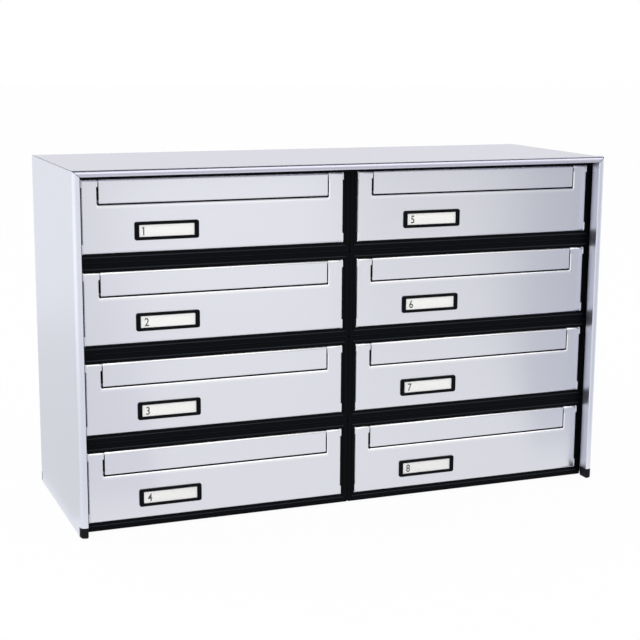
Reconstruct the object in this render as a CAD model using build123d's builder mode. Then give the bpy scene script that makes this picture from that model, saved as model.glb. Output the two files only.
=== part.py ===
# Block of eight mailboxes: four rows of two moulded boxes inside a casing of three aluminium extrusions.
# Letters go in at the front, through the flap of each box, and are taken out through a locked rear door.
# Millimetres. X runs to the right, Y from front to rear, Z up. The origin is under the middle of the block.

import os

from build123d import *

# Moulded boxes
columns = 2
rows = 4
rim_side = 8.25              # of a box, beside its opening
panel_cover = 9.4            # from the top of a front panel to the top of its box
box_depth = 188.2
box_gap = 0.4                # between the two columns
rib_height = 0.6             # ribs under each box, on which it stands
rib_width = 6.0
rib_length = 150.0
rib_spacing = 240.0
box_wall = 2.0
box_corner = 1.5
box_seam = 0.1               # between the frames and plates of a box
rim_thick = 3.0
opening_gap = 0.4            # around a panel or door in the rim
ridge_height = 0.6
ridge_width = 1.0
ridge_inset = 2.6            # from the opening to the moulded ridge around it

# Front panels and rear doors, folded from sheet
panel_width = 300.0
panel_height = 80.0
panel_bottom = 10.4          # above the foot of its own box
panel_proud = 1.5            # of the face of the rim
panel_sheet = 1.0
panel_flange = 12.0
side_recess = 0.6            # of the sides between the full-width corners
corner_high = 8.4            # full-width stretch at the top of a panel
corner_low = 11.0            # and at its foot
side_bend = 1.5
slot_edge = 0.85             # coined edge round the lower part of the flap opening
ear_flange_start = 6.4       # from the flap opening to the top flange of an ear
ear_flange_end = 2.0         # from the end of that flange to the side of the panel

# Letter flaps and their pins
ear_width = 19.4             # of the front panel on each side of its flap
flap_height = 26.2
flap_lip = 4.0
flap_gap_top = 1.15          # beside the flap, above the step in the opening
flap_gap = 1.85              # beside the flap, below that step
flap_gap_below = 1.6
flap_step = 7.8              # from the top of the panel down to the step
slot_corner = 2.5
stop_reach = 4.0             # of the tabs that keep a flap from swinging out
stop_height = 2.5
stop_above = 0.5             # from the lip to a stop tab
pin_radius = 1.5
running_clearance = 0.08
fit_clearance = 0.1
cradle_width = 5.0
cradle_side = 0.6            # from the end of the flap to the cradle of its pin
cradle_depth = 4.4
cradle_below = 4.0

# Name holders
holder_width = 72.0
holder_height = 20.0
holder_from_left = 57.4      # from the left edge of the panel
holder_centre_down = 56.7    # from the top of the panel
holder_proud = 1.8
holder_corner = 2.5
holder_edge = 0.6
collar_margin = 1.6          # from the outline of the bezel to its collar
collar_depth = 3.4
window_width = 61.5
window_height = 12.8
window_bevel = 1.2
window_lip = 1.3             # thickness of the bezel in front of the window
pocket_margin = 0.9          # of the pocket around the window
window_sheet = 0.5
card_sheet = 0.4
card_play = 0.3
bar_width = 3.0              # bars that hold the card from behind
bar_thick = 0.9
bar_spacing = 40.0

# Moulded hooks that hold a panel by windows in its side flanges
lug_height = 16.0
lug_depth = 8.0
lug_middle = 50.0            # above the foot of the box
hook_height = 10.0
hook_depth = 5.0
hook_catch = 0.8             # inside the flange

# Rear doors, hung from a hinge along the top, and their locks
door_flange = 4.5
hinge_lug_radius = 3.4
hinge_notch = 5.2            # of the door around the hinge lug
notch_clearance = 0.6
lock_up = 14.0               # from the foot of the door to the axis of its lock
lock_radius = 8.0
lock_flange_radius = 9.5
lock_flange = 1.5
plug_radius = 5.5
plug_recess = 0.2
key_slot_width = 1.2
key_slot_height = 6.0
key_slot_depth = 2.5
cam_thick = 2.0
cam_width = 10.0
cam_catch = 4.0              # behind the lower edge of the rim
cam_play = 0.2               # from the barrel to the cam
cam_behind_rim = 0.6

# Casing
side_clearance = 2.7         # from the boxes to the sheet of a side panel
top_clearance = 0.2
case_sheet = 1.2
bead_proud = 0.6             # of the sheet, along the front only
bead_reach = 20.4            # from the face of the panels to the nose of the bead
side_bead_width = 8.5
top_bead_width = 7.0
bead_depth = 14.4
bead_round = 5.5
bead_inner_round = 1.2
bead_wall = 1.4
floor_gap = 1.0              # under the side panels
mitre_gap = 0.5
liner_clearance = 0.2        # from the boxes to the ribs inside a side panel
liner_width = 8.0
liner_middle = 55.0          # of each inner rib, from the middle of the side panel
cap_height = 12.0
cap_outer_depth = 8.4
cap_seam = 0.2
cap_edge = 1.2
plug_length = 10.0
plug_clearance = 0.15
key_leg = 28.0
case_screw_radius = 1.75
case_screw_head_radius = 3.4
case_screw_head = 1.8

# Holes in the floor of the two bottom boxes, for bolts into a stand
stand_hole_radius = 3.25
stand_pad_radius = 9.0
stand_hole_in = 67.5          # from the outer side of a box to its stand holes
stand_hole_along = 70.0       # from the middle of a box to each stand hole

overrun = 2.0                # of every cut past what it cuts

# Places that follow from the sizes above
panel_top = panel_bottom + panel_height
box_width = panel_width + 2 * opening_gap + 2 * rim_side
box_height = panel_top + panel_cover - rib_height
flap_width = panel_width - 2 * ear_width
door_curl_width = flap_width
pitch_x = box_width + box_gap
pitch_z = box_height + rib_height
stack_width = columns * pitch_x - box_gap
stack_height = rows * pitch_z
rim_y = box_depth / 2
face_y = rim_y + panel_proud
half_depth = face_y + bead_reach
half_width = stack_width / 2 + side_clearance + case_sheet + bead_proud
case_top = stack_height + top_clearance + case_sheet + bead_proud
panel_middle = (panel_bottom + panel_top) / 2
opening_width = panel_width + 2 * opening_gap
opening_height = panel_height + 2 * opening_gap
curl_radius = pin_radius + running_clearance + panel_sheet
curl_line = curl_radius - panel_sheet / 2
flap_axis_y = -face_y + curl_radius
flap_axis_z = panel_top - curl_radius
door_axis_y = face_y - curl_radius
door_axis_z = panel_top - curl_radius
flap_bottom = panel_top - flap_height
slot_bottom = flap_bottom - flap_gap_below
slot_width_top = flap_width + 2 * flap_gap_top
slot_width = flap_width + 2 * flap_gap
holder_x = -panel_width / 2 + holder_from_left + holder_width / 2
holder_z = panel_top - holder_centre_down
collar_width = holder_width - 2 * collar_margin
collar_height = holder_height - 2 * collar_margin
pocket_width = window_width + 2 * pocket_margin
pocket_height = window_height + 2 * pocket_margin
pocket_front = -face_y - holder_proud + window_lip
flange_x = panel_width / 2 - side_recess
cradle_start = flap_width / 2 + cradle_side
lock_z = panel_bottom + lock_up
cam_outer_y = rim_y - rim_thick - cam_behind_rim
cam_tip = lock_up + opening_gap + cam_catch
lock_body = face_y - cam_outer_y - cam_play
lug_y = -rim_y + rim_thick + lug_depth / 2
wall_x = box_width / 2 - box_wall
case_screw_x = stack_width / 2 - box_wall

columns_x = [(column - (columns - 1) / 2) * pitch_x for column in range(columns)]
rows_z = [(rows - 1 - row) * pitch_z for row in range(rows)]
places = [(x, 0, z) for x in columns_x for z in rows_z]
screwed_z = (max(rows_z), min(rows_z))


def placed(piece, label, spots):
    """One node made of a piece set at each of the given places."""
    with BuildPart() as copy:
        with Locations(*spots):
            add(piece)
    copy.part.label = label
    return copy.part


# Moulded box: four wall plates between two frames, with hooks for the front panel and seats for both hinge pins
with BuildPart() as box_shell:
    with BuildSketch(Plane.XZ):
        with Locations((0, rib_height + box_height / 2)):
            RectangleRounded(box_width, box_height, box_corner)
            Rectangle(box_width - 2 * box_wall, box_height - 2 * box_wall, mode=Mode.SUBTRACT)
            with GridLocations(0, box_height - 2 * box_wall - box_seam, 1, 2):
                Rectangle(box_width + overrun, box_seam, mode=Mode.SUBTRACT)
    extrude(amount=rim_y - rim_thick - box_seam, both=True)
    for side in (1, -1):
        with BuildSketch(Plane.XZ.offset(side * rim_y)):
            with Locations((0, rib_height + box_height / 2)):
                RectangleRounded(box_width, box_height, box_corner)
            with Locations((0, panel_middle)):
                Rectangle(opening_width, opening_height, mode=Mode.SUBTRACT)
        extrude(amount=-side * rim_thick)
        with BuildSketch(Plane.XZ.offset(side * rim_y)):
            with Locations((0, panel_middle)):
                ridge_out = 2 * (ridge_inset + ridge_width)
                Rectangle(opening_width + ridge_out, opening_height + ridge_out)
                ridge_in = 2 * ridge_inset
                Rectangle(opening_width + ridge_in, opening_height + ridge_in, mode=Mode.SUBTRACT)
        extrude(amount=side * ridge_height)
    # Lugs beside the front panel, each with a hook that snaps into a window of the panel's flange
    for side in (1, -1):
        with BuildSketch(Plane.YZ.offset(side * flange_x)):
            with Locations((lug_y, lug_middle)):
                Rectangle(lug_depth, lug_height)
        extrude(amount=side * (wall_x - box_seam - flange_x))
        with BuildSketch(Plane.YZ.offset(side * flange_x)):
            with Locations((lug_y, lug_middle)):
                Rectangle(hook_depth, hook_height)
        extrude(amount=-side * (panel_sheet + hook_catch))
    # Half-round cradles behind the ears of the front panel, for the flap's pin
    for side in (1, -1):
        with BuildSketch(Plane.YZ.offset(side * cradle_start)):
            with BuildLine():
                back = flap_axis_y + cradle_depth
                low = flap_axis_z - cradle_below
                high = panel_top + opening_gap + rim_thick
                Polyline(
                    (flap_axis_y + running_clearance, high),
                    (flap_axis_y + running_clearance, low),
                    (back, low),
                    (back, high),
                    close=True,
                )
            make_face()
            with Locations((flap_axis_y, flap_axis_z)):
                Circle(pin_radius, mode=Mode.SUBTRACT)
        extrude(amount=side * cradle_width)
    # Round lugs on the upper edge of the rear rim, for the pin of the rear door
    for side in (1, -1):
        with BuildSketch(Plane.YZ.offset(side * cradle_start)):
            with Locations((door_axis_y, door_axis_z)):
                Circle(hinge_lug_radius)
                root = panel_top + opening_gap + rim_thick - door_axis_z
                with Locations((-hinge_lug_radius / 2, root / 2)):
                    Rectangle(hinge_lug_radius, root)
                Circle(pin_radius, mode=Mode.SUBTRACT)
        extrude(amount=side * cradle_width)
    # Ribs that the box stands on
    with BuildSketch(Plane.XY):
        with GridLocations(rib_spacing, 0, 2, 1):
            Rectangle(rib_width, rib_length)
    extrude(amount=rib_height)


# Front panel: a sheet folded back along all four sides, open at the top for the flap
with BuildPart() as front_panel:
    with BuildSketch(Plane.YZ.offset(-panel_width / 2)):
        with BuildLine():
            FilletPolyline(
                (-face_y + panel_flange, panel_top - panel_sheet / 2),
                (-face_y + panel_sheet / 2, panel_top - panel_sheet / 2),
                (-face_y + panel_sheet / 2, panel_bottom + panel_sheet / 2),
                (-face_y + panel_flange, panel_bottom + panel_sheet / 2),
                radius=curl_line,
            )
        trace(line_width=panel_sheet)
    extrude(amount=panel_width)
    side_top = panel_top - corner_high
    side_foot = panel_bottom + corner_low
    with BuildSketch(Plane.XZ.offset(face_y + overrun)):
        for side in (1, -1):
            # the sides stand back between the full-width corners
            with Locations((side * panel_width / 2, (side_top + side_foot) / 2)):
                Rectangle(2 * (side_recess + side_bend), side_top - side_foot)
        # the opening for the flap, a little narrower above its step
        with Locations((0, panel_top + overrun)):
            Rectangle(slot_width_top, flap_step + overrun, align=(Align.CENTER, Align.MAX))
        with Locations((0, slot_bottom)):
            Rectangle(slot_width, panel_top - flap_step - slot_bottom, align=(Align.CENTER, Align.MIN))
    extrude(amount=-(panel_flange - panel_sheet), mode=Mode.SUBTRACT)
    lower_corners = front_panel.edges().filter_by(Axis.Y).filter_by(
        lambda edge: abs(abs(edge.center().X) - slot_width / 2) < fit_clearance
    )
    fillet(lower_corners.group_by(Axis.Z)[0], slot_corner)
    # its edge is coined, which shows as a bright line
    coined = front_panel.faces().filter_by(Axis.Y).group_by(Axis.Y)[0].edges().filter_by(
        lambda edge: abs(edge.center().X) < slot_width / 2 + fit_clearance
        and slot_bottom - fit_clearance < edge.center().Z < panel_top - flap_step - fit_clearance
    )
    chamfer(coined, slot_edge)
    # the top flange is left only on a short stretch of each ear
    with BuildSketch(Plane.XY.offset(panel_top + overrun)):
        flange_middle = -face_y + curl_radius + (panel_flange - curl_radius + overrun) / 2
        flange_cut = panel_flange - curl_radius + overrun
        inner = slot_width_top / 2 + ear_flange_start
        outer = panel_width / 2 - ear_flange_end
        with Locations((0, flange_middle)):
            Rectangle(panel_width + overrun, flange_cut)
        for side in (1, -1):
            with Locations((side * (inner + outer) / 2, flange_middle)):
                Rectangle(outer - inner, flange_cut + overrun, mode=Mode.SUBTRACT)
    extrude(amount=-(overrun + corner_high), mode=Mode.SUBTRACT)
    # side flanges, folded back between the full-width corners
    with BuildSketch(Plane.XY.offset(side_foot)):
        for side in (1, -1):
            with BuildLine():
                FilletPolyline(
                    (side * (flange_x - 2 * side_bend), -face_y + panel_sheet / 2),
                    (side * (flange_x - panel_sheet / 2), -face_y + panel_sheet / 2),
                    (side * (flange_x - panel_sheet / 2), -face_y + panel_flange),
                    radius=side_bend - panel_sheet / 2,
                )
            trace(line_width=panel_sheet)
    extrude(amount=side_top - side_foot)
    # windows for the hooks of the box
    with BuildSketch(Plane.YZ.offset(-panel_width / 2 - overrun)):
        with Locations((lug_y, lug_middle)):
            Rectangle(hook_depth + 2 * fit_clearance, hook_height + 2 * fit_clearance)
    extrude(amount=panel_width + 2 * overrun, mode=Mode.SUBTRACT)
    # the window that the collar of the name holder passes through
    with BuildSketch(Plane.XZ.offset(face_y + overrun)):
        with Locations((holder_x, holder_z)):
            Rectangle(collar_width + 2 * fit_clearance, collar_height + 2 * fit_clearance)
    extrude(amount=-(2 * overrun + panel_sheet), mode=Mode.SUBTRACT)


# Flap: rolled round its pin along the top, folded in along the bottom, with a stop tab at each end
with BuildPart() as flap:
    with BuildSketch(Plane.YZ.offset(-flap_width / 2)):
        with BuildLine():
            FilletPolyline(
                (-face_y + flap_lip, flap_bottom + panel_sheet / 2),
                (-face_y + panel_sheet / 2, flap_bottom + panel_sheet / 2),
                (-face_y + panel_sheet / 2, flap_axis_z),
                radius=panel_sheet,
            )
            CenterArc((flap_axis_y, flap_axis_z), curl_line, 180, -270)
        trace(line_width=panel_sheet)
    extrude(amount=flap_width)
    with BuildSketch(Plane.XZ.offset(face_y - panel_sheet - fit_clearance)):
        stop_z = flap_bottom + stop_above + panel_sheet + stop_height / 2
        for side in (1, -1):
            with Locations((side * (flap_width + stop_reach - flap_lip) / 2, stop_z)):
                Rectangle(stop_reach + flap_lip, stop_height)
    extrude(amount=-panel_sheet)
    with BuildSketch(Plane.XZ.offset(face_y - panel_sheet / 2)):
        for side in (1, -1):
            with Locations((side * (flap_width / 2 - flap_lip / 2), stop_z)):
                Rectangle(flap_lip, stop_height)
    extrude(amount=-panel_sheet)


# Pin of a flap: a plain rod from cradle to cradle
pin_length = 2 * (cradle_start + cradle_width)
with BuildPart() as flap_pin:
    with BuildSketch(Plane.YZ.offset(-pin_length / 2)):
        with Locations((flap_axis_y, flap_axis_z)):
            Circle(pin_radius)
    extrude(amount=pin_length)


# Rear door: a shallow folded tray, rolled round its pin along the top
with BuildPart() as rear_door:
    for width, sweep in ((panel_width, 90), (door_curl_width, 270)):
        with BuildSketch(Plane.YZ.offset(-width / 2)):
            with BuildLine():
                FilletPolyline(
                    (face_y - door_flange, panel_bottom + panel_sheet / 2),
                    (face_y - panel_sheet / 2, panel_bottom + panel_sheet / 2),
                    (face_y - panel_sheet / 2, door_axis_z),
                    radius=curl_line,
                )
                CenterArc((door_axis_y, door_axis_z), curl_line, 0, sweep)
            trace(line_width=panel_sheet)
        extrude(amount=width)
    with BuildSketch(Plane.XY.offset(panel_bottom + curl_radius)):
        for side in (1, -1):
            with Locations((side * (panel_width - panel_sheet) / 2, face_y)):
                Rectangle(panel_sheet, door_flange, align=(Align.CENTER, Align.MAX))
    extrude(amount=door_axis_z - hinge_notch - panel_bottom - curl_radius)
    # notches that clear the hinge lugs of the box
    with BuildSketch(Plane.XZ.offset(-face_y - overrun)):
        for side in (1, -1):
            with Locations((side * (cradle_start + cradle_width / 2), panel_top + overrun)):
                Rectangle(
                    cradle_width + 2 * notch_clearance,
                    curl_radius + hinge_notch + overrun,
                    align=(Align.CENTER, Align.MAX),
                )
    extrude(amount=2 * curl_radius + overrun, mode=Mode.SUBTRACT)
    with BuildSketch(Plane.XZ.offset(-face_y - overrun)):
        with Locations((0, lock_z)):
            Circle(lock_radius + fit_clearance)
    extrude(amount=2 * overrun, mode=Mode.SUBTRACT)


# Pin of a rear door
with BuildPart() as rear_pin:
    with BuildSketch(Plane.YZ.offset(-pin_length / 2)):
        with Locations((door_axis_y, door_axis_z)):
            Circle(pin_radius)
    extrude(amount=pin_length)


# Lock barrel: a flanged bush fixed in the rear door
with BuildPart() as lock_barrel:
    with BuildSketch(Plane.XZ.offset(-face_y)):
        with Locations((0, lock_z)):
            Circle(lock_flange_radius)
    extrude(amount=-lock_flange)
    with BuildSketch(Plane.XZ.offset(-face_y)):
        with Locations((0, lock_z)):
            Circle(lock_radius)
    extrude(amount=lock_body)
    with BuildSketch(Plane.XZ.offset(-face_y - lock_flange - overrun)):
        with Locations((0, lock_z)):
            Circle(plug_radius + running_clearance)
    extrude(amount=lock_flange + lock_body + 2 * overrun, mode=Mode.SUBTRACT)


# Lock cam: the key plug with the cam riveted on its tail; the cam lies sideways when the door is free
with BuildPart() as lock_cam:
    plug_face = face_y + lock_flange - plug_recess
    with BuildSketch(Plane.XZ.offset(-plug_face)):
        with Locations((0, lock_z)):
            Circle(plug_radius)
    extrude(amount=plug_face - cam_outer_y)
    with BuildSketch(Plane.XZ.offset(-cam_outer_y)):
        with Locations((0, lock_z)):
            with Locations(((cam_tip - cam_width / 2) / 2, 0)):
                SlotOverall(cam_tip + cam_width / 2, cam_width)
    extrude(amount=cam_thick)
    with BuildSketch(Plane.XZ.offset(-plug_face)):
        with Locations((0, lock_z)):
            Rectangle(key_slot_width, key_slot_height)
    extrude(amount=key_slot_depth, mode=Mode.SUBTRACT)


# Name holder: a bevelled bezel with a collar through the panel and two bars behind the card
with BuildPart() as name_holder:
    with BuildSketch(Plane.XZ.offset(face_y)):
        with Locations((holder_x, holder_z)):
            RectangleRounded(holder_width, holder_height, holder_corner)
    extrude(amount=holder_proud)
    chamfer(name_holder.faces().sort_by(Axis.Y)[0].edges(), holder_edge)
    with BuildSketch(Plane.XZ.offset(face_y)):
        with Locations((holder_x, holder_z)):
            Rectangle(collar_width, collar_height)
    extrude(amount=-collar_depth)
    with BuildSketch(Plane.XZ.offset(-pocket_front)):
        with Locations((holder_x, holder_z)):
            Rectangle(pocket_width, pocket_height)
    extrude(amount=-(collar_depth + holder_proud), mode=Mode.SUBTRACT)
    with BuildSketch(Plane.XZ.offset(-pocket_front)):
        with Locations((holder_x, holder_z)):
            Rectangle(window_width, window_height)
    with BuildSketch(Plane.XZ.offset(face_y + holder_proud)):
        with Locations((holder_x, holder_z)):
            Rectangle(window_width + 2 * window_bevel, window_height + 2 * window_bevel)
    loft(ruled=True, mode=Mode.SUBTRACT)
    card_back = pocket_front + window_sheet + card_sheet
    with BuildSketch(Plane.XZ.offset(-card_back)):
        with Locations((holder_x, holder_z)):
            with GridLocations(bar_spacing, 0, 2, 1):
                Rectangle(bar_width, pocket_height)
    extrude(amount=-bar_thick)


# Clear window and name card, one behind the other in the pocket
with BuildPart() as name_window:
    with BuildSketch(Plane.XZ.offset(-pocket_front)):
        with Locations((holder_x, holder_z)):
            Rectangle(pocket_width - card_play, pocket_height - card_play)
    extrude(amount=-window_sheet)

with BuildPart() as name_card:
    with BuildSketch(Plane.XZ.offset(-pocket_front - window_sheet)):
        with Locations((holder_x, holder_z)):
            Rectangle(pocket_width - card_play, pocket_height - card_play)
    extrude(amount=-card_sheet)


def bead_outline(width):
    """Outline of an edge bead: its outer face on X = 0 and its nose on Y = 0, rounded off between them."""
    with BuildSketch() as outline:
        Rectangle(width, bead_depth, align=(Align.MAX, Align.MIN))
        nose = outline.vertices().group_by(Axis.Y)[0]
        fillet(nose.sort_by(Axis.X)[-1], bead_round)
        nose = outline.vertices().group_by(Axis.Y)[0]
        fillet(nose.sort_by(Axis.X)[0], bead_inner_round)
    return outline.sketch


def case_section(outer, bead_width, open_from, liner_thick):
    """Section of a casing extrusion: a sheet with a hollow bead along its front and rear edges."""
    sheet_middle = outer - bead_proud - case_sheet / 2
    with BuildSketch() as bead:
        add(bead_outline(bead_width))
        offset(amount=-bead_wall, mode=Mode.SUBTRACT)
    with BuildSketch() as section:
        with Locations((outer, -half_depth)):
            add(bead.sketch)
        with Locations((outer - bead_proud, half_depth)):
            add(bead.sketch.mirror(Plane.XZ))
        with Locations((sheet_middle, 0)):
            Rectangle(case_sheet, 2 * (half_depth - open_from))
        if liner_thick:
            with Locations((sheet_middle - (case_sheet + liner_thick) / 2, 0)):
                with Locations((0, liner_middle), (0, -liner_middle)):
                    Rectangle(liner_thick, liner_width)
    return section.sketch


# The plane on which a side panel meets the top panel, at the right
mitre_normal = Vector(-top_bead_width, 0, side_bead_width).normalized()


def mitre(shift):
    """The mitre plane at the right, moved out of the top panel by a distance along its normal."""
    corner = Vector(half_width, 0, case_top) + mitre_normal * shift
    return Plane(origin=corner, x_dir=(0, 1, 0), z_dir=mitre_normal)


# Right side panel: an extrusion with its beads cut short for the end caps
liner_thick = side_clearance - liner_clearance
with BuildPart() as side_panel_right:
    with BuildSketch(Plane.XY.offset(floor_gap)):
        add(case_section(half_width, side_bead_width, cap_outer_depth, liner_thick))
    extrude(amount=case_top - floor_gap)
    split(bisect_by=mitre(-mitre_gap / 2), keep=Keep.BOTTOM)
    skin = half_width - bead_proud - case_sheet
    with BuildSketch(Plane.XY.offset(floor_gap - overrun)):
        for side in (1, -1):
            with Locations((half_width + overrun, side * (half_depth + overrun))):
                Rectangle(
                    side_bead_width + bead_proud + 2 * overrun,
                    cap_outer_depth + overrun,
                    align=(Align.MAX, Align.MAX if side > 0 else Align.MIN),
                )
            with Locations((skin, side * half_depth)):
                Rectangle(
                    side_bead_width + overrun,
                    bead_depth + overrun,
                    align=(Align.MAX, Align.MAX if side > 0 else Align.MIN),
                )
    extrude(amount=cap_height + overrun, mode=Mode.SUBTRACT)
    # holes in the inner ribs for the screws from the boxes
    with BuildSketch(Plane.YZ.offset(case_screw_x)):
        for z in screwed_z:
            with Locations((liner_middle, z + lug_middle), (-liner_middle, z + lug_middle)):
                Circle(case_screw_radius)
    extrude(amount=skin - case_screw_x, mode=Mode.SUBTRACT)

with BuildPart() as side_panel_left:
    add(side_panel_right.part.mirror(Plane.YZ))


# Top panel: the same kind of extrusion laid across, mitred at both ends
with BuildPart() as top_panel:
    with BuildSketch(Plane(origin=(half_width, 0, 0), x_dir=(0, 0, 1), z_dir=(-1, 0, 0))):
        add(case_section(case_top, top_bead_width, cap_outer_depth, 0))
    extrude(amount=2 * half_width)
    split(bisect_by=mitre(mitre_gap / 2), keep=Keep.TOP)
    add(top_panel.part.mirror(Plane.YZ), mode=Mode.INTERSECT)


def end_cap(outer, skin_depth):
    """Black cap that closes the foot of a bead: the bead's own outline with a plug into its hollow."""
    with BuildPart() as cap:
        with BuildSketch(Plane.XY.offset(floor_gap)):
            with Locations((outer, -half_depth)):
                add(bead_outline(side_bead_width))
                with Locations((0, bead_depth)):
                    Rectangle(
                        skin_depth + fit_clearance,
                        bead_depth - cap_outer_depth + fit_clearance,
                        align=(Align.MAX, Align.MAX),
                        mode=Mode.SUBTRACT,
                    )
        extrude(amount=cap_height - cap_seam)
        outline_edges = cap.faces().sort_by(Axis.Z)[0].edges().filter_by(
            lambda edge: edge.center().Y < -half_depth + bead_round
        )
        chamfer(outline_edges, cap_edge)
        shell = max(skin_depth, bead_wall)
        with BuildSketch(Plane.XY.offset(floor_gap + cap_height - cap_seam)):
            with Locations((outer - shell - plug_clearance, -half_depth + bead_round)):
                Rectangle(
                    side_bead_width - shell - bead_wall - 2 * plug_clearance,
                    bead_depth - bead_round - bead_wall - plug_clearance,
                    align=(Align.MAX, Align.MIN),
                )
        extrude(amount=plug_length)
    return cap.part


front_cap = end_cap(half_width, bead_proud + case_sheet)
rear_cap = end_cap(half_width - bead_proud, case_sheet).mirror(Plane.XZ)
with BuildPart() as end_caps:
    add(front_cap)
    add(rear_cap)
    mirror(about=Plane.YZ)


def corner_key(inset):
    """Angle that joins the hollow beads of a side panel and the top panel across their mitre."""
    play = bead_wall + plug_clearance
    key_y = -half_depth + bead_round
    key_depth = bead_depth - bead_round - bead_wall - plug_clearance
    outer_x = half_width - inset - max(play, bead_proud - inset + case_sheet + plug_clearance)
    outer_z = case_top - inset - max(play, bead_proud - inset + case_sheet + plug_clearance)
    inner_x = half_width - inset - side_bead_width + play
    inner_z = case_top - inset - top_bead_width + play
    with BuildPart() as key:
        with BuildSketch(Plane.XZ.offset(-key_y)):
            with BuildLine():
                Polyline(
                    (outer_x, outer_z),
                    (outer_x, outer_z - key_leg),
                    (inner_x, outer_z - key_leg),
                    (inner_x, inner_z),
                    (outer_x - key_leg, inner_z),
                    (outer_x - key_leg, outer_z),
                    close=True,
                )
            make_face()
        extrude(amount=-key_depth)
    return key.part


with BuildPart() as corner_keys:
    add(corner_key(0))
    add(corner_key(bead_proud).mirror(Plane.XZ))
    mirror(about=Plane.YZ)


# Hexagon head screws from inside the top and bottom boxes into the ribs of the side panels
with BuildPart() as case_screws:
    for z in screwed_z:
        for y in (liner_middle, -liner_middle):
            with BuildSketch(Plane.YZ.offset(case_screw_x - case_screw_head)):
                with Locations((y, z + lug_middle)):
                    RegularPolygon(case_screw_head_radius, 6)
            extrude(amount=case_screw_head)
            with BuildSketch(Plane.YZ.offset(case_screw_x)):
                with Locations((y, z + lug_middle)):
                    Circle(case_screw_radius)
            extrude(amount=skin - case_screw_x)
    mirror(about=Plane.YZ)


def finished_box(x, z):
    """A box with what its place in the block adds: screw holes beside the casing, stand holes at the foot."""
    outward = 1 if x > 0 else -1
    with BuildPart() as box:
        add(box_shell.part)
        if z in screwed_z:
            with BuildSketch(Plane.YZ.offset(outward * (wall_x - overrun))):
                with Locations((liner_middle, lug_middle), (-liner_middle, lug_middle)):
                    Circle(case_screw_radius)
            extrude(amount=outward * (box_wall + 2 * overrun), mode=Mode.SUBTRACT)
        if z == min(rows_z):
            hole_x = outward * (box_width / 2 - stand_hole_in)
            with BuildSketch(Plane.XY):
                with Locations((hole_x, stand_hole_along), (hole_x, -stand_hole_along)):
                    Circle(stand_pad_radius)
            extrude(amount=rib_height + box_wall / 2)
            with BuildSketch(Plane.XY.offset(-overrun)):
                with Locations((hole_x, stand_hole_along), (hole_x, -stand_hole_along)):
                    Circle(stand_hole_radius)
            extrude(amount=rib_height + box_wall + 2 * overrun, mode=Mode.SUBTRACT)
    return box.part


pieces = []
for number, (x, y, z) in enumerate(places, start=1):
    spot = [(x, y, z)]
    pieces.append(placed(finished_box(x, z), f"box_shell_{number}", spot))
    pieces.append(placed(front_panel.part, f"front_panel_{number}", spot))
    pieces.append(placed(flap.part, f"flap_{number}", spot))
    pieces.append(placed(rear_door.part, f"rear_door_{number}", spot))
    pieces.append(placed(lock_barrel.part, f"lock_barrel_{number}", spot))
    pieces.append(placed(lock_cam.part, f"lock_cam_{number}", spot))

pieces.append(placed(flap_pin.part, "flap_pins", places))
pieces.append(placed(rear_pin.part, "rear_hinge_pins", places))
pieces.append(placed(name_holder.part, "name_holders", places))
pieces.append(placed(name_window.part, "name_windows", places))
pieces.append(placed(name_card.part, "name_cards", places))

side_panel_right.part.label = "side_panel_right"
side_panel_left.part.label = "side_panel_left"
top_panel.part.label = "top_panel"
end_caps.part.label = "end_caps"
corner_keys.part.label = "corner_keys"
case_screws.part.label = "case_screws"
pieces += [side_panel_right.part, side_panel_left.part, top_panel.part]
pieces += [end_caps.part, corner_keys.part, case_screws.part]

os.makedirs("parts", exist_ok=True)
for piece in pieces:
    export_step(piece, f"parts/{piece.label}.step")
print(len(pieces), "nodes; half width", round(half_width, 2), "depth", round(2 * half_depth, 2), "top", round(case_top, 2))
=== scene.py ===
# %% [markdown]
# # A block of eight mailboxes
# The real object is a casing of three satin aluminium extrusions round eight moulded black boxes.
# Each box has a folded aluminium front with a letter flap and a name holder, and a locked door behind.
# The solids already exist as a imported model, so this lesson dresses them:
# camera, finishes, edges, numbers, floor and light.
# All lengths are in metres, unless a name says otherwise.

import math

import bmesh
import bpy
from mathutils import Matrix, Vector


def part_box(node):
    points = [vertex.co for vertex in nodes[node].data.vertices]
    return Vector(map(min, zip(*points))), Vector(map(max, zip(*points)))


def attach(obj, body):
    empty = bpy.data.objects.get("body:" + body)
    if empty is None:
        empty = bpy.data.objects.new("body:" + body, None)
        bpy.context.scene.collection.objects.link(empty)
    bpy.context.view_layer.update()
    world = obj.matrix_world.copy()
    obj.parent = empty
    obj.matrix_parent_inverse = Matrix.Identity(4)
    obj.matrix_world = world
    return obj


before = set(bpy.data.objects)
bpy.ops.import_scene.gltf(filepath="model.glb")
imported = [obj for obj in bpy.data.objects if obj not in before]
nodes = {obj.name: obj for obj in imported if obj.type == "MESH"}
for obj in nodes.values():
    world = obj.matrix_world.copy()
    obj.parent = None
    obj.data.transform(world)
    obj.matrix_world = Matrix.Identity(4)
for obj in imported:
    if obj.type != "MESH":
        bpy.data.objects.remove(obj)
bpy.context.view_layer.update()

# %% [markdown]
# ## Camera
# The camera was found from the straight edges of the photograph: the seams, the panel edges and the beads.
# It could be placed by eye, but a solved position follows those edges.
# The position and the three angles below are all that a pinhole camera needs.

# %% Place the camera
camera_at = Vector((-0.627675, -1.584905, 0.537084))
turn_right = 0.377858
look_down = 0.194249
lean = 0.006844
focal_pixels = 1429.098
picture_pixels = 640
sensor_mm = 36.0
nearest_seen = 0.05


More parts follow.
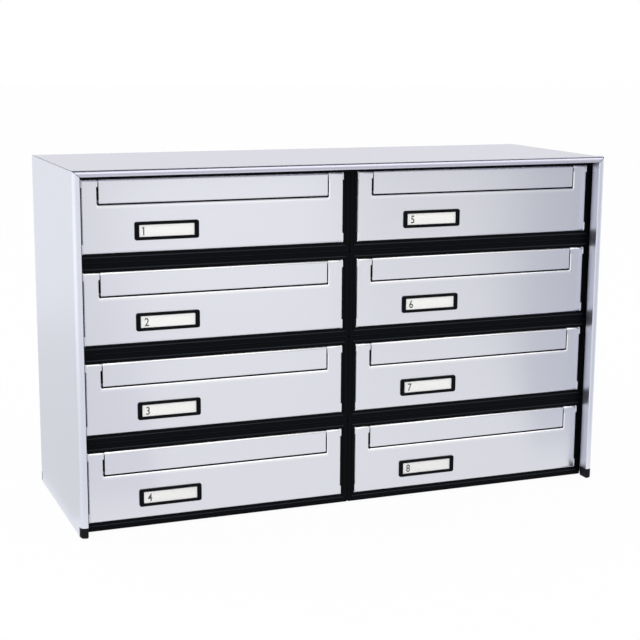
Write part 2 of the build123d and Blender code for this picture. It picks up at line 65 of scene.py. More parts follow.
def camera_matrix():
    """Where the camera stands and how it is turned, from its three angles."""
    level = math.cos(look_down)
    forward = Vector((math.sin(turn_right) * level, math.cos(turn_right) * level, -math.sin(look_down)))
    right = forward.cross(Vector((0, 0, 1))).normalized()
    up = right.cross(forward)
    leaning_right = right * math.cos(lean) + up * math.sin(lean)
    leaning_up = up * math.cos(lean) - right * math.sin(lean)
    turn = Matrix((leaning_right, leaning_up, -forward)).transposed()
    return Matrix.Translation(camera_at) @ turn.to_4x4()


camera = bpy.data.objects.new("photo_camera", bpy.data.cameras.new("photo_camera"))
camera.data.sensor_width = sensor_mm
camera.data.lens = sensor_mm * focal_pixels / picture_pixels
camera.data.clip_start = nearest_seen
camera.matrix_world = camera_matrix()
bpy.context.scene.collection.objects.link(camera)
bpy.context.scene.camera = camera
bpy.context.scene.view_settings.view_transform = "Standard"
print("lens", round(camera.data.lens, 2), "mm")

# %% [markdown]
# ## Helpers for materials
# A finish here is a small tree of shader nodes. Colours are picked from the photograph as sRGB hex values,
# but shaders calculate in linear light, so one function converts them.
# A second function adds a node, sets its inputs and links it, which keeps each finish short.
# A third starts a finish with its shader, and a fourth makes the two tones between which a surface varies.

# %% Colour and node helpers
def linear(hex_colour):
    """Linear RGBA of an sRGB hex colour such as D6D6E1."""
    channels = [int(hex_colour[i : i + 2], 16) / 255 for i in (0, 2, 4)]
    light = [c / 12.92 if c <= 0.04045 else ((c + 0.055) / 1.055) ** 2.4 for c in channels]
    return (*light, 1.0)


def add_node(tree, kind, settings=None, feeds=None, **inputs):
    """A shader node with its settings, values and links.

    An input is named in inputs, where _ stands for a space, or numbered in feeds.
    It gets a value, a socket, or a node, which stands for its first output.
    """
    node = tree.nodes.new(kind)
    for name, value in (settings or {}).items():
        setattr(node, name, value)
    named = {name.replace("_", " "): value for name, value in inputs.items()}
    for name, value in {**(feeds or {}), **named}.items():
        if isinstance(value, bpy.types.Node):
            value = value.outputs[0]
        if isinstance(value, bpy.types.NodeSocket):
            tree.links.new(value, node.inputs[name])
        else:
            node.inputs[name].default_value = value
    return node


def new_finish(name, **inputs):
    """An empty material with one Principled shader; returns the material, its tree and the shader."""
    material = bpy.data.materials.new(name)
    material.use_nodes = True
    tree = material.node_tree
    tree.nodes.clear()
    shader = add_node(tree, "ShaderNodeBsdfPrincipled", **inputs)
    add_node(tree, "ShaderNodeOutputMaterial", Surface=shader.outputs["BSDF"])
    return material, tree, shader


def tones(hex_colour, darker, lighter):
    """Two linear tones of an sRGB hex colour, as shares of it, for the inputs A and B of a mix."""
    base = linear(hex_colour)[:3]
    shares = {"A": darker, "B": lighter}
    return {name: (*[min(c * share, 1.0) for c in base], 1.0) for name, share in shares.items()}


print("linear mid grey", round(linear("808080")[0], 3))

# %% [markdown]
# ## Anodised aluminium
# Extruded and rolled aluminium is etched and anodised, which leaves a dull silver with a very fine grain
# along the direction in which the metal was pushed or rolled.
# A picture of metal could be wrapped round the pieces, but a stretched noise on object coordinates
# has no seams and keeps its real size: 2500 streaks to the metre are 0.4 mm wide, and 40 are 25 mm long.
# The grain of the sheet also smears reflections across itself, which the anisotropy of the shader gives.

# %% Satin anodised aluminium
streaks_across = 2500.0
streaks_along = 40.0
gloss_change = 0.04
quarter_turn = 0.25


def anodised_aluminium(name, colour, grain_axis, roughness, smear=0.0):
    """Satin anodised aluminium with its grain along X, Y or Z."""
    material, tree, shader = new_finish(
        name, Metallic=1.0, Roughness=roughness, Anisotropic=smear, Anisotropic_Rotation=quarter_turn
    )
    along = [float(axis == grain_axis) for axis in "XYZ"]
    scale = [streaks_along if share else streaks_across for share in along]
    places = add_node(tree, "ShaderNodeTexCoord")
    stretch = add_node(tree, "ShaderNodeMapping", Scale=scale, Vector=places.outputs["Object"])
    grain = add_node(tree, "ShaderNodeTexNoise", Scale=1.0, Detail=3.0, Roughness=0.6, Vector=stretch)
    dull, smooth = roughness + gloss_change, roughness - gloss_change
    polish = add_node(tree, "ShaderNodeMapRange", To_Min=smooth, To_Max=dull, Value=grain)
    direction = add_node(tree, "ShaderNodeCombineXYZ", X=along[0], Y=along[1], Z=along[2])
    tone = add_node(tree, "ShaderNodeMix", {"data_type": "RGBA"}, Factor=grain, **tones(colour, 0.97, 1.03))
    tree.links.new(polish.outputs["Result"], shader.inputs["Roughness"])
    tree.links.new(direction.outputs["Vector"], shader.inputs["Tangent"])
    tree.links.new(tone.outputs["Result"], shader.inputs["Base Color"])
    return material


case_side_finish = anodised_aluminium("anodised_aluminium_side_extrusion", "DFE2EC", "Z", 0.38)
# The top extrusion takes a darker tone than the side ones of the same aluminium, as painted shade on its top.
shaded_top_finish = anodised_aluminium("anodised_aluminium_top_extrusion", "C8C7D6", "X", 0.26)
front_finish = anodised_aluminium("anodised_aluminium_punched_sheet", "DCDDE5", "X", 0.25, 0.8)
door_finish = anodised_aluminium("anodised_aluminium_rolled_sheet", "DCDDE5", "X", 0.25, 0.8)
print("aluminium finishes:", case_side_finish.name, shaded_top_finish.name, front_finish.name, door_finish.name)

# %% [markdown]
# ## Places on the fronts
# The eight fronts are the same piece in two columns and four rows, so one pattern can serve them all.
# The pattern could be drawn eight times, but folding the object coordinates is shorter: the distance from the
# middle of a column is the same in both, and the height repeats with the rows.

# %% Find a place on a front
top_panel_low, top_panel_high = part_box("front_panel_1")
row_pitch = top_panel_high.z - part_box("front_panel_2")[1].z
right_panel_low, right_panel_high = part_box("front_panel_5")
column_middle = (right_panel_low.x + right_panel_high.x) / 2
front_half_width = (right_panel_high.x - right_panel_low.x) / 2
front_half_height = (top_panel_high.z - top_panel_low.z) / 2
fold_above_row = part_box("front_panel_4")[1].z


def place_on_front(tree):
    """Nodes for the distance of a point from the middle of its column and for its height in its row."""
    places = next(n for n in tree.nodes if n.type == "TEX_COORD")
    where = add_node(tree, "ShaderNodeSeparateXYZ", Vector=places.outputs["Object"])
    folded = add_node(tree, "ShaderNodeMath", {"operation": "ABSOLUTE"}, {0: where.outputs["X"]})
    off_middle = add_node(tree, "ShaderNodeMath", {"operation": "SUBTRACT"}, {0: folded, 1: column_middle})
    across = add_node(tree, "ShaderNodeMath", {"operation": "ABSOLUTE"}, {0: off_middle})
    in_row = add_node(tree, "ShaderNodeMath", {"operation": "MODULO"}, {0: where.outputs["Z"], 1: row_pitch})
    return across, in_row


print("rows", round(row_pitch, 4), "m apart, column middle", round(column_middle, 5), "m")

# %% [markdown]
# ## Painted highlights and shade on the fronts
# The coined edge of the letter opening and the fold along the top of a front catch light as a bright line,
# which is painted here as a highlight in the colour of the sheet. The line is a millimetre or two wide and
# fades into the satin sheet.
# It could be modelled as a strip of its own, but it has no thickness, so it is worked out from the place on
# the front: the distance to the outline of the opening, and the distance down from the top fold.
# The sheet is folded after anodising, so along the side folds the layer crazes and turns milky and dull.
# The stop tabs at the ends of a flap show in the shaded gap beside it, and are painted black there as painted
# shade.

# %% Sizes of the opening and its painted highlights
flap_low, flap_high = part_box("flap_5")
stop_tab = 0.004
gap_beside_flap = 0.00185
gap_below_flap = 0.0016
opening_half = (flap_high.x - flap_low.x) / 2 - stop_tab + gap_beside_flap
opening_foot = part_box("flap_4")[0].z - gap_below_flap
step_down = 0.0078
# Width and fade of the painted highlight round the opening.
highlight_width = 0.0055
highlight_fade = 2.2
narrowing = 2.5
fold_width = 0.0024
craze_width = 0.0021
craze_fade = 0.0007
craze_start = front_half_width - craze_width
craze_end = craze_start + craze_fade
crazed_metal = 0.1
# Half the width of the painted shade on a stop tab, and its black.
tab_shade_half = 0.0008
tab_shade_colour = "0A0C10"
print("opening half", round(opening_half, 5), "m, foot", round(opening_foot, 5), "m above its row")

# %% [markdown]
# ### The place beside the opening
# Every pattern on a front needs to know where it is: how far beside or below the outline of the opening,
# how far down from the top fold, and whether that is under the step where the opening gets wider.

# %% Find the place beside the opening
def place_by_opening(tree):
    """Nodes for a point's distance across, beside, below and down, and for being under the step."""
    across, in_row = place_on_front(tree)
    beside = add_node(tree, "ShaderNodeMath", {"operation": "SUBTRACT"}, {0: across, 1: opening_half})
    below = add_node(tree, "ShaderNodeMath", {"operation": "SUBTRACT"}, {0: opening_foot, 1: in_row})
    down = add_node(tree, "ShaderNodeMath", {"operation": "SUBTRACT"}, {0: fold_above_row, 1: in_row})
    under_step = add_node(tree, "ShaderNodeMath", {"operation": "GREATER_THAN"}, {0: down, 1: step_down})
    return across, beside, below, down, under_step


print("step", step_down * 1000, "mm below the fold")

# %% [markdown]
# ### Painted highlights
# The painted highlight round the opening fades with the distance to its outline, and is narrower at the
# sides.
# The line along the fold has one width. The brighter of the two counts.

# %% Draw the painted highlights
def bright_lines(tree, beside, below, down, under_step):
    """A node that is 1 on the painted highlights of a front and fades to 0 beside them."""
    beside_edge = add_node(tree, "ShaderNodeMath", {"operation": "MAXIMUM"}, {0: beside, 1: 0.0})
    narrowed = add_node(tree, "ShaderNodeMath", {"operation": "MULTIPLY"}, {0: beside_edge, 1: narrowing})
    below_edge = add_node(tree, "ShaderNodeMath", {"operation": "MAXIMUM"}, {0: below, 1: 0.0})
    away = add_node(tree, "ShaderNodeCombineXYZ", X=narrowed, Y=below_edge)
    distance = add_node(tree, "ShaderNodeVectorMath", {"operation": "LENGTH"}, {0: away})
    nearness = add_node(
        tree, "ShaderNodeMapRange",
        From_Max=highlight_width, To_Min=1.0, To_Max=0.0, Value=distance.outputs["Value"],
    )
    fading = add_node(tree, "ShaderNodeMath", {"operation": "POWER"}, {0: nearness, 1: highlight_fade})
    outside = add_node(tree, "ShaderNodeMath", {"operation": "MAXIMUM"}, {0: beside, 1: below})
    on_front = add_node(
        tree, "ShaderNodeMath", {"operation": "GREATER_THAN"}, {0: outside, 1: -gap_below_flap / 2}
    )
    around = add_node(tree, "ShaderNodeMath", {"operation": "MULTIPLY"}, {0: fading, 1: on_front})
    opening_line = add_node(tree, "ShaderNodeMath", {"operation": "MULTIPLY"}, {0: around, 1: under_step})
    fold_line = add_node(
        tree, "ShaderNodeMapRange",
        From_Min=fold_width / 2, From_Max=fold_width, To_Min=1.0, To_Max=0.0, Value=down,
    )
    return add_node(tree, "ShaderNodeMath", {"operation": "MAXIMUM"}, {0: opening_line, 1: fold_line})


print("bright line fades out", highlight_width * 1000, "mm below the opening")

# %% [markdown]
# ### Painted shade on the stop tabs
# The tabs show only in the gap at the ends of a flap, so the place in that gap is enough to find them
# and paint them black as shade.

# %% Find the stop tabs for the painted shade
def dipped_tabs(tree, beside, below, under_step):
    """A node that is 1 on the stop tabs at the ends of a flap, where shade is painted, and 0 elsewhere."""
    in_gap = add_node(
        tree, "ShaderNodeMath", {"operation": "COMPARE"}, {0: beside, 1: -gap_beside_flap / 2, 2: tab_shade_half}
    )
    above_foot = add_node(tree, "ShaderNodeMath", {"operation": "LESS_THAN"}, {0: below, 1: 0.0})
    in_height = add_node(tree, "ShaderNodeMath", {"operation": "MULTIPLY"}, {0: under_step, 1: above_foot})
    return add_node(tree, "ShaderNodeMath", {"operation": "MULTIPLY"}, {0: in_gap, 1: in_height})


print("painted_shade_on_tabs", tab_shade_half * 2000, "mm wide in a gap of", gap_beside_flap * 1000, "mm")

# %% [markdown]
# ### The finished front
# The painted highlights brighten the satin tone, the painted shade covers the stop tabs in black, and both
# that shade and the crazed folds take away the look of bare metal. Only the fronts and flaps get this; the
# rear doors stay plain.

# %% Paint highlights and shade on the fronts
def burnish(material):
    """Adds painted highlights, painted shade on the stop tabs and crazed side folds to a sheet finish."""
    tree = material.node_tree
    shader = next(n for n in tree.nodes if n.type == "BSDF_PRINCIPLED")
    satin = shader.inputs["Base Color"].links[0].from_socket
    across, beside, below, down, under_step = place_by_opening(tree)
    line = bright_lines(tree, beside, below, down, under_step)
    tab_shade = dipped_tabs(tree, beside, below, under_step)
    # White is mixed in as painted highlight, and black over the stop tabs as painted shade.
    white, black = linear("FFFFFF"), linear(tab_shade_colour)
    bright = add_node(tree, "ShaderNodeMix", {"data_type": "RGBA"}, Factor=line, A=satin, B=white)
    sheet = bright.outputs["Result"]
    tone = add_node(tree, "ShaderNodeMix", {"data_type": "RGBA"}, Factor=tab_shade, A=sheet, B=black)
    crazed = add_node(
        tree, "ShaderNodeMapRange",
        From_Min=craze_start, From_Max=craze_end, To_Min=1.0, To_Max=crazed_metal, Value=across,
    )
    bare = add_node(
        tree, "ShaderNodeMath", {"operation": "SUBTRACT", "use_clamp": True}, {0: crazed, 1: tab_shade}
    )
    tree.links.new(tone.outputs["Result"], shader.inputs["Base Color"])
    tree.links.new(bare.outputs["Value"], shader.inputs["Metallic"])


burnish(front_finish)
print("painted_light_on", front_finish.name, "with", len(front_finish.node_tree.nodes), "nodes")

# %% [markdown]
# ## Black moulded plastic
# The boxes, the name holders and the end caps are injection moulded in black.
# The tool is spark eroded, so the surface has a fine even pebble that scatters a little light.
# Bump from a fine noise shows this without changing the shape. The pebbles are drawn a little under half
# a millimetre wide, coarser than real ones, because those would be too fine to show.

# %% Moulded black plastic
pebbles_per_metre = 2200.0


def moulded_black(name, colour, roughness, pebble):
    """Injection moulded black plastic with a fine spark-eroded texture of that height, in metres."""
    material, tree, shader = new_finish(
        name, Base_Color=linear(colour), Roughness=roughness, Specular_IOR_Level=0.05
    )
    places = add_node(tree, "ShaderNodeTexCoord")
    texture = add_node(
        tree, "ShaderNodeTexNoise", Scale=pebbles_per_metre, Detail=2.0, Vector=places.outputs["Object"]
    )
    bump = add_node(tree, "ShaderNodeBump", Strength=0.25, Distance=pebble, Height=texture)
    tree.links.new(bump.outputs["Normal"], shader.inputs["Normal"])
    return material


box_finish = moulded_black("moulded_black_abs_box", "05070B", 0.42, 0.00003)
holder_finish = moulded_black("moulded_black_abs_name_holder", "070A0F", 0.35, 0.00002)
cap_finish = moulded_black("moulded_black_polyamide_end_cap", "191A1E", 0.5, 0.00003)
print("plastic finishes:", box_finish.name, holder_finish.name, cap_finish.name)

# %% [markdown]
# ## Painted highlights on the ridges of the boxes
# A fine ridge runs along each front in the black rim, and the boxes meet in a rounded seam.
# Both stand proud and catch light as thin pale lines, which are painted here as highlights in a greyer tone
# than the pebbled face. They could be pieces of their own, but only their tone differs.
# The height above or below the front gives the ridge, and the height in the row gives the seam.

# %% Paint highlights on the ridges and seams
ridge_middle = 0.0035
ridge_half = 0.0006
seam_half = 0.0009
front_middle_in_row = fold_above_row - front_half_height


def rub_ridges(material, highlight_colour):
    """Paints highlights, as a grey, on a black finish along the ridges above and below each front and along
    the seams of the rows.
    """
    tree = material.node_tree
    shader = next(n for n in tree.nodes if n.type == "BSDF_PRINCIPLED")
    across, in_row = place_on_front(tree)
    beside = add_node(tree, "ShaderNodeMath", {"operation": "SUBTRACT"}, {0: across, 1: front_half_width})
    off_row = add_node(tree, "ShaderNodeMath", {"operation": "SUBTRACT"}, {0: in_row, 1: front_middle_in_row})
    up_down = add_node(tree, "ShaderNodeMath", {"operation": "ABSOLUTE"}, {0: off_row})
    above = add_node(tree, "ShaderNodeMath", {"operation": "SUBTRACT"}, {0: up_down, 1: front_half_height})
    level = add_node(
        tree, "ShaderNodeMath", {"operation": "COMPARE"}, {0: above, 1: ridge_middle, 2: ridge_half}
    )
    in_width = add_node(tree, "ShaderNodeMath", {"operation": "LESS_THAN"}, {0: beside, 1: ridge_middle})
    ridge = add_node(tree, "ShaderNodeMath", {"operation": "MULTIPLY"}, {0: level, 1: in_width})
    seam = add_node(tree, "ShaderNodeMath", {"operation": "COMPARE"}, {0: in_row, 1: 0.0, 2: seam_half})
    highlit = add_node(tree, "ShaderNodeMath", {"operation": "MAXIMUM"}, {0: ridge, 1: seam})
    black, grey = shader.inputs["Base Color"].default_value, linear(highlight_colour)
    tone = add_node(tree, "ShaderNodeMix", {"data_type": "RGBA"}, Factor=highlit, A=black, B=grey)
    tree.links.new(tone.outputs["Result"], shader.inputs["Base Color"])


# The grey is painted highlight on the ridges and seams.
rub_ridges(box_finish, "25292F")
print("ridges", ridge_middle * 1000, "mm from each front")

# %% [markdown]
# ## Small metal parts
# Pins, screws, corner keys and cams are zinc plated steel: a bright grey with faint cloudy patches from
# the bath. The lock barrels are nickel plated zinc with turned faces, so they are smoother and warmer.
# One function makes both: a noise of the right size moves the tone and the roughness a little.

# %% Plated metal
cloudiness = 0.06


def plated_metal(name, colour, roughness, patch):
    """Plated metal whose tone and gloss vary in patches of that width, in metres."""
    material, tree, shader = new_finish(name, Metallic=1.0, Roughness=roughness)
    places = add_node(tree, "ShaderNodeTexCoord")
    cloud = add_node(
        tree, "ShaderNodeTexNoise",
        Scale=1 / patch, Detail=4.0, Roughness=0.6, Vector=places.outputs["Object"],
    )
    dull, smooth = roughness + cloudiness, roughness - cloudiness
    polish = add_node(tree, "ShaderNodeMapRange", To_Min=smooth, To_Max=dull, Value=cloud)
    tone = add_node(tree, "ShaderNodeMix", {"data_type": "RGBA"}, Factor=cloud, **tones(colour, 0.85, 1.1))
    tree.links.new(polish.outputs["Result"], shader.inputs["Roughness"])
    tree.links.new(tone.outputs["Result"], shader.inputs["Base Color"])
    return material


zinc_finish = plated_metal("zinc_plated_steel", "C2C5C9", 0.32, 0.002)
nickel_finish = plated_metal("nickel_plated_zinc_die_cast", "BDBAB2", 0.18, 0.004)
print("plated finishes:", zinc_finish.name, nickel_finish.name)

# %% [markdown]
# ## Card, ink and window
# The cards are uncoated board, whose fibres give a faint mottle and tooth, and the numbers are matt black
# ink. The window over each card is clear sheet. A full glass shader would darken the card behind it,
# because little light finds its way in and out again, so the sheet is mostly an opening with a faint gloss.

# %% Card, ink and clear sheet
def fibrous(name, colour, roughness, fibre, tooth):
    """A matt fibrous surface with a mottle of that width and a tooth of that height, in metres."""
    material, tree, shader = new_finish(name, Base_Color=linear(colour), Roughness=roughness)
    places = add_node(tree, "ShaderNodeTexCoord")
    mottle = add_node(
        tree, "ShaderNodeTexNoise",
        Scale=1 / fibre, Detail=5.0, Roughness=0.65, Vector=places.outputs["Object"],
    )
    bump = add_node(tree, "ShaderNodeBump", Strength=0.3, Distance=tooth, Height=mottle)
    tone = add_node(tree, "ShaderNodeMix", {"data_type": "RGBA"}, Factor=mottle, **tones(colour, 0.97, 1.02))
    tree.links.new(tone.outputs["Result"], shader.inputs["Base Color"])
    tree.links.new(bump.outputs["Normal"], shader.inputs["Normal"])
    return material


card_finish = fibrous("uncoated_white_card", "F4F4F2", 0.85, 0.0004, 0.00002)
ink_finish = fibrous("black_printing_ink", "0D0E10", 0.7, 0.0004, 0.00001)
window_finish, _, _ = new_finish(
    "clear_acrylic_sheet", Base_Color=(1, 1, 1, 1), Roughness=0.05, IOR=1.49, Alpha=0.07
)
print("sheet finishes:", card_finish.name, ink_finish.name, window_finish.name)

# %% [markdown]
# ## Put the finishes on the pieces
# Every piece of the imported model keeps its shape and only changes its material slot.
# A short table from the start of each name to a finish is easier to read than sixty lines.

# %% Assign the finishes
finish_by_name = {
    "box_shell": box_finish,
    "front_panel": front_finish,
    "flap_pins": zinc_finish,
    "flap": front_finish,
    "rear_door": door_finish,
    "rear_hinge_pins": zinc_finish,
    "lock_barrel": nickel_finish,
    "lock_cam": zinc_finish,
    "side_panel": case_side_finish,
    "top_panel": shaded_top_finish,
    "end_caps": cap_finish,
    "corner_keys": zinc_finish,
    "case_screws": zinc_finish,
    "name_holders": holder_finish,
    "name_windows": window_finish,
    "name_cards": card_finish,
}
for name, piece in nodes.items():
    finish = next(f for start, f in finish_by_name.items() if name.startswith(start))
    piece.data.materials.clear()
    piece.data.materials.append(finish)
print("dressed", len(nodes), "pieces")

# %% [markdown]
# ## Small rounded edges
# A sheared or moulded edge is never sharp: it has a tiny round that catches the light as a thin line.
# The edges could be modelled one by one in the solids, but a weld, a clean-up of flat faces and a bevel
# give every edge its line and leave the solids simple.

# %% Break the sharp edges
same_place = 0.000001
flat_within = math.radians(0.5)
sharp_from = math.radians(35)
sheet_edge = 0.00025
moulded_edge = 0.0004


def break_edges(piece, width, segments=2):
    """Gives every sharp edge of a piece a small round of that width, in metres."""
    weld = piece.modifiers.new("weld", "WELD")
    weld.merge_threshold = same_place
    flat = piece.modifiers.new("flat_faces", "DECIMATE")
    flat.decimate_type = "DISSOLVE"
    flat.angle_limit = flat_within
    edge = piece.modifiers.new("broken_edge", "BEVEL")
    edge.width = width
    edge.segments = segments
    edge.limit_method = "ANGLE"
    edge.angle_limit = sharp_from
    edge.harden_normals = True


for name, piece in nodes.items():
    if name.startswith(("front_panel", "flap_", "rear_door")) and name != "flap_pins":
        break_edges(piece, sheet_edge)
    elif name.startswith(("box_shell", "end_caps", "name_holders")):
        break_edges(piece, moulded_edge)
print("edges broken by", sheet_edge * 1000, "and", moulded_edge * 1000, "mm")

# %% [markdown]
# ## Air behind the windows
# In the solids the clear window, the card and the bars of a name holder touch face to face.
# A renderer can't tell which of two faces in one plane comes first, so the dark bars would show through.
# Shrinking both sheets by a few hundredths of a millimetre leaves a film of air, as in the real holder.

# %% Leave a film of air round the windows and cards
air_film = 0.00003
for name in ("name_windows", "name_cards"):
    film = nodes[name].modifiers.new("air_film", "DISPLACE")
    film.direction = "NORMAL"
    film.mid_level = 0.0
    film.strength = -air_film
print("air film", air_film * 1000, "mm")

# %% [markdown]
# ## Numbers on the name cards
# Each card carries a plain printed number, one to eight, at its left end.
# Text can't be bevelled or placed like a mesh, so each digit is turned into one and then moved into place.

# %% Sizes and places of the numbers
digit_height = 0.0090
digit_narrow = 0.86
flag_of_one = [(0.0, 0.0), (-0.12, -0.09), (-0.12, -0.16), (0.0, -0.08)]
digit_left = 0.0831
digit_low = 0.0289
stroke_heavier = 0.012
half_extrusion = 0.5
same_corner = 0.0001
ink_thick = 0.00004
column_x = [-0.15885, 0.15885]
row_z = [0.2994, 0.1996, 0.0998, 0.0]
card_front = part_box("name_cards")[0].y
print("numbers", digit_height * 1000, "mm high")

# %% [markdown]
# ### The flag of the 1
# The built-in typeface draws a 1 as a bare upright. The numbers on the cards have a short slanted stroke,
# so a small block of four corners is added to it.

# %% Add the flag of a 1
def add_flag(shape, left, top):
    """The short slanted stroke of a 1, which the built-in typeface leaves out."""
    front = [shape.verts.new((left + x, top + y, half_extrusion)) for x, y in flag_of_one]
    back = [shape.verts.new((left + x, top + y, -half_extrusion)) for x, y in flag_of_one]
    shape.faces.new(front)
    shape.faces.new(reversed(back))
    for i in range(len(flag_of_one)):
        j = (i + 1) % len(flag_of_one)
        shape.faces.new((front[j], front[i], back[i], back[j]))


print("flag with", len(flag_of_one), "corners")

# %% [markdown]
# ### From text to a flat mesh
# The text is turned into a mesh, measured, scaled to the height of the print and stood against the card.

# %% Make one printed digit
def printed_digit(text, left, bottom):
    """A flat printed digit whose lower left corner is at that place on the plane of the card."""
    curve = bpy.data.curves.new("digit", "FONT")
    curve.body = text
    curve.extrude = half_extrusion
    curve.offset = stroke_heavier
    source = bpy.data.objects.new("digit", curve)
    bpy.context.scene.collection.objects.link(source)
    mesh = bpy.data.meshes.new_from_object(source.evaluated_get(bpy.context.evaluated_depsgraph_get()))
    bpy.data.objects.remove(source)
    shape = bmesh.new()
    shape.from_mesh(mesh)
    bmesh.ops.remove_doubles(shape, verts=shape.verts, dist=same_corner)
    xs = [v.co.x for v in shape.verts]
    ys = [v.co.y for v in shape.verts]
    size = digit_height / (max(ys) - min(ys))
    if text == "1":
        add_flag(shape, min(xs), max(ys))
    move = Matrix.Translation((-min(xs), -min(ys), 0))
    stand = Matrix.Rotation(math.radians(90), 4, "X")
    scale = Matrix.Diagonal((size * digit_narrow, ink_thick, size, 1.0))
    place = Matrix.Translation((left, card_front - ink_thick / 2, bottom))
    bmesh.ops.transform(shape, matrix=place @ scale @ stand @ move, verts=shape.verts)
    bmesh.ops.recalc_face_normals(shape, faces=shape.faces)
    shape.to_mesh(mesh)
    shape.free()
    return mesh


print("card front at", round(card_front, 5), "m")

# %% [markdown]
# ### All eight numbers
# The numbers run down the left column and then down the right one, as in the photograph.

# %% Place the eight numbers
numbers = []
for column, x in enumerate(column_x):
    for row, z in enumerate(row_z):
        number = column * len(row_z) + row + 1
        mesh = printed_digit(str(number), x - digit_left, z + digit_low)
        digit = bpy.data.objects.new(f"card_number_{number}", mesh)
        digit.data.materials.append(ink_finish)
        bpy.context.scene.collection.objects.link(digit)
        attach(digit, "casing")
        numbers.append(digit)
print("printed", len(numbers), "numbers")

# %% [markdown]
# ## Floor
# The photograph is a product shot on seamless white with hardly any shadow.
# A plain white board would come out grey where the lamps are weak, so to the camera and in reflections
# most of its colour is a steady white, and the rest is real board that keeps a faint shadow.

# %% White floor that keeps a faint shadow
floor_size = 30.0
white_share = 0.94
floor_mesh = bpy.data.meshes.new("studio_floor")
shape = bmesh.new()
bmesh.ops.create_grid(shape, x_segments=1, y_segments=1, size=floor_size / 2)
shape.to_mesh(floor_mesh)
shape.free()
floor = bpy.data.objects.new("studio_floor", floor_mesh)
floor_finish, tree, board = new_finish("white_studio_board", Base_Color=linear("F4F4F4"), Roughness=0.9)
glow = add_node(tree, "ShaderNodeEmission", Strength=1.0)
rays = add_node(tree, "ShaderNodeLightPath")
camera_ray, mirrored_ray = rays.outputs["Is Camera Ray"], rays.outputs["Is Glossy Ray"]
seen = add_node(tree, "ShaderNodeMath", {"operation": "MAXIMUM"}, {0: camera_ray, 1: mirrored_ray})
glow_share = add_node(tree, "ShaderNodeMath", {"operation": "MULTIPLY"}, {0: seen, 1: white_share})
mix = add_node(tree, "ShaderNodeMixShader", None, {0: glow_share, 1: board, 2: glow})
out = next(n for n in tree.nodes if n.type == "OUTPUT_MATERIAL")
tree.links.new(mix.outputs["Shader"], out.inputs["Surface"])
floor.data.materials.append(floor_finish)
bpy.context.scene.collection.objects.link(floor)
print("floor", floor_size, "m wide")

# %% [markdown]
# ## The room that the metal mirrors
# Satin metal has hardly any colour of its own: what it shows is the room. The photograph tells what was
# there. The thin dark line along the top bead mirrors a dark ceiling behind the object, the white line under
# it mirrors a large softbox overhead, and the grey below mirrors the room in front.
# Brightness ramps over the height of a direction describe this, one for the rear half of the room
# and one for the front half. They hold to the right of the object, where the metal in the photograph faces.
# To its left a third ramp is calm and bright, so that the metal looks plain from other sides.
# Only mirrored rays see the ramps. The camera sees plain white, and the object gets a plain white light.

# %% Heights and brightnesses of the mirrored room
rear_room = [(-1.0, 0.98), (0.66, 1.0), (0.76, 0.02), (1.0, 0.02)]
front_room = [
    (-1.0, 0.90), (0.05, 0.74), (0.40, 0.78), (0.68, 1.05),
    (0.76, 1.75), (0.955, 1.75), (0.98, 0.02), (1.0, 0.02),
]
left_room = [(-1.0, 0.95), (0.0, 0.88), (0.6, 0.95), (1.0, 1.0)]


def room_ramp(tree, heights, height):
    """A ramp from the height of a direction, -1 down to 1 up, to the brightness of the room there."""
    ramp = add_node(tree, "ShaderNodeValToRGB", Fac=height)
    stops = ramp.color_ramp.elements
    while len(stops) < len(heights):
        stops.new(1.0)
    for stop, (place, brightness) in zip(stops, heights):
        stop.position = (place + 1) / 2
        stop.color = (brightness, brightness, brightness, 1)
    return ramp


print("stops behind, in front and to the left:", len(rear_room), len(front_room), len(left_room))

# %% [markdown]
# ### Sending each ray to its part of the room
# The direction of a ray tells the half and the side of the room, and a soft change between them leaves
# no edge in the metal. The kind of ray then tells whether it gets the ramps, the plain light or plain white.

# %% World with the mirrored room
room_light = 0.95
rear_blend = 0.06
right_blend = 0.16
smooth = {"interpolation_type": "SMOOTHSTEP"}
world = bpy.data.worlds.new("white_studio")
world.use_nodes = True
sky = world.node_tree
sky.nodes.clear()
direction = add_node(sky, "ShaderNodeTexCoord")
parts = add_node(sky, "ShaderNodeSeparateXYZ", Vector=direction.outputs["Generated"])
right, rear, up = parts.outputs
height = add_node(sky, "ShaderNodeMapRange", From_Min=-1.0, From_Max=1.0, Value=up)
rearward = add_node(sky, "ShaderNodeMapRange", smooth, From_Min=-rear_blend, From_Max=rear_blend, Value=rear)
rightward = add_node(sky, "ShaderNodeMapRange", smooth, From_Min=0.0, From_Max=right_blend, Value=right)
rear_tone, front_tone, left_tone = (
    room_ramp(sky, heights, height).outputs["Color"] for heights in (rear_room, front_room, left_room)
)
either_half = add_node(
    sky, "ShaderNodeMix", {"data_type": "RGBA"}, Factor=rearward, A=front_tone, B=rear_tone
).outputs["Result"]
either_side = add_node(
    sky, "ShaderNodeMix", {"data_type": "RGBA"}, Factor=rightward, A=left_tone, B=either_half
).outputs["Result"]
rays = add_node(sky, "ShaderNodeLightPath")
camera_ray, through_ray = rays.outputs["Is Camera Ray"], rays.outputs["Is Transmission Ray"]
seen = add_node(sky, "ShaderNodeMath", {"operation": "MAXIMUM"}, {0: camera_ray, 1: through_ray})
light = add_node(sky, "ShaderNodeBackground", Color=(1, 1, 1, 1), Strength=room_light)
mirrored = add_node(sky, "ShaderNodeBackground", Color=either_side, Strength=1.0)
white = add_node(sky, "ShaderNodeBackground", Color=(1, 1, 1, 1), Strength=1.0)
lit_or_mirrored = add_node(
    sky, "ShaderNodeMixShader", None, {0: rays.outputs["Is Glossy Ray"], 1: light, 2: mirrored}
)
sky_mix = add_node(sky, "ShaderNodeMixShader", None, {0: seen, 1: lit_or_mirrored, 2: white})
add_node(sky, "ShaderNodeOutputWorld", Surface=sky_mix)
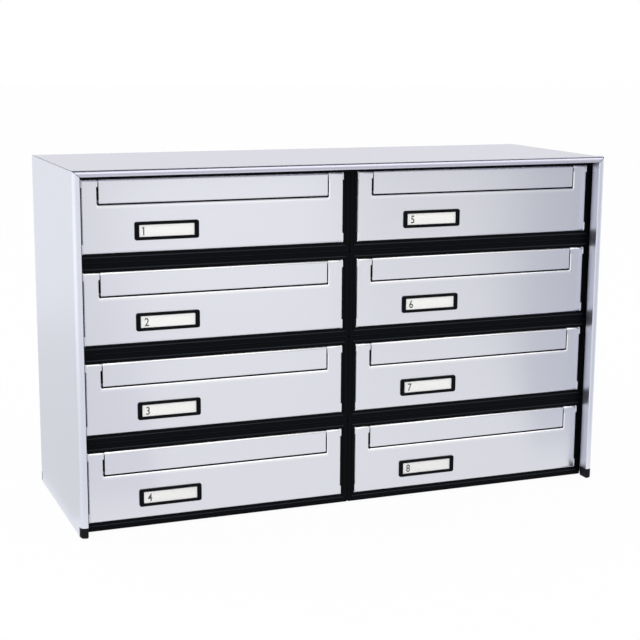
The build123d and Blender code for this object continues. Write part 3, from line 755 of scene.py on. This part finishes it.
bpy.context.scene.world = world
print("world has", len(sky.nodes), "nodes")

# %% [markdown]
# ## Cards round the object
# Photographers lay and stand cards round a metal object to draw lines in it. White ones brighten the folds
# that face them, and grey ones darken the right third of the fronts and the foot of the left side.
# The cards glow, but only mirrored rays see them, so they throw no light or shadow of their own.

# %% Make a reflector card
def reflector_card(name, corners, brightness, colour="FFFFFF"):
    """A card with its four corners at given places; only reflections see it."""
    mesh = bpy.data.meshes.new(name)
    shape = bmesh.new()
    shape.faces.new([shape.verts.new(corner) for corner in corners])
    shape.to_mesh(mesh)
    shape.free()
    card = bpy.data.objects.new(name, mesh)
    finish, tree, _ = new_finish(name + "_glow")
    glow = add_node(tree, "ShaderNodeEmission", Strength=brightness, Color=linear(colour))
    out = next(n for n in tree.nodes if n.type == "OUTPUT_MATERIAL")
    tree.links.new(glow.outputs["Emission"], out.inputs["Surface"])
    card.data.materials.append(finish)
    bpy.context.scene.collection.objects.link(card)
    card.visible_camera = False
    card.visible_diffuse = False
    card.visible_transmission = False
    card.visible_shadow = False
    return card


print("cards are seen by reflections alone")

# %% [markdown]
# ### Places of the cards
# A card lies on the floor, lies there with a slanting inner edge, or stands across the view.
# The places were found by following the mirrored view from the bright and dark parts of the photograph.

# %% Place the cards
card_lift = 0.002


def lying(left, right, front, rear):
    """Corners of a card that lies on the floor."""
    return [(x, y, card_lift) for x, y in ((left, front), (right, front), (right, rear), (left, rear))]


def standing(left, right, place, low, high):
    """Corners of a card that stands across the view in front of the object."""
    return [(left, place, low), (right, place, low), (right, place, high), (left, place, high)]


def slanting(near_x, far_x, outer_x, near, far):
    """Corners of a card on the floor whose inner edge slants away from the object."""
    return [(x, y, card_lift) for x, y in ((near_x, near), (outer_x, near), (outer_x, far), (far_x, far))]


cards = [
    reflector_card("white_card_on_floor_left", lying(-4.4, -1.3, -2.2, 1.2), 1.6),
    reflector_card("grey_card_on_floor_rear_left", lying(-1.3, -0.33, -0.05, 1.1), 0.82),
    reflector_card("white_card_in_front", standing(0.20, 0.86, -2.2, 0.0, 0.5), 1.28),
    reflector_card("grey_card_on_floor_front_left", slanting(-0.20, 0.10, -0.9, -0.2, -1.6), 0.90, "FAFAFF"),
    reflector_card("blue_grey_card_right", standing(1.05, 2.4, -1.55, 0.0, 0.5), 0.67, "F4F6FF"),
    reflector_card("blue_grey_card_on_floor_far", slanting(0.73, 1.06, 2.0, -1.05, -1.55), 0.66, "F4F6FF"),
    reflector_card("blue_grey_card_on_floor_near", slanting(0.34, 0.73, 2.0, -0.25, -1.05), 0.78, "F4F6FF"),
]
print("cards:", [card.name for card in cards])

# %% [markdown]
# ## Lamp
# One large soft lamp from the left front gives the shapes a direction. The white room does the rest.

# %% Soft lamp
lamp_place = (-1.2, -1.6, 2.2)
lamp_aim = (0, 0, 0.2)
lamp_size = 1.6
lamp_power = 14.0


def soft_lamp(name, place, aim, size, power):
    """A square area lamp at a place, aimed at a point."""
    light = bpy.data.lights.new(name, "AREA")
    light.shape = "SQUARE"
    light.size = size
    light.energy = power
    lamp = bpy.data.objects.new(name, light)
    lamp.location = place
    lamp.rotation_mode = "QUATERNION"
    lamp.rotation_quaternion = (Vector(aim) - Vector(place)).to_track_quat("-Z", "Y")
    bpy.context.scene.collection.objects.link(lamp)
    return lamp


key_lamp = soft_lamp("key_lamp", lamp_place, lamp_aim, lamp_size, lamp_power)
print("key lamp", key_lamp.data.energy, "W")
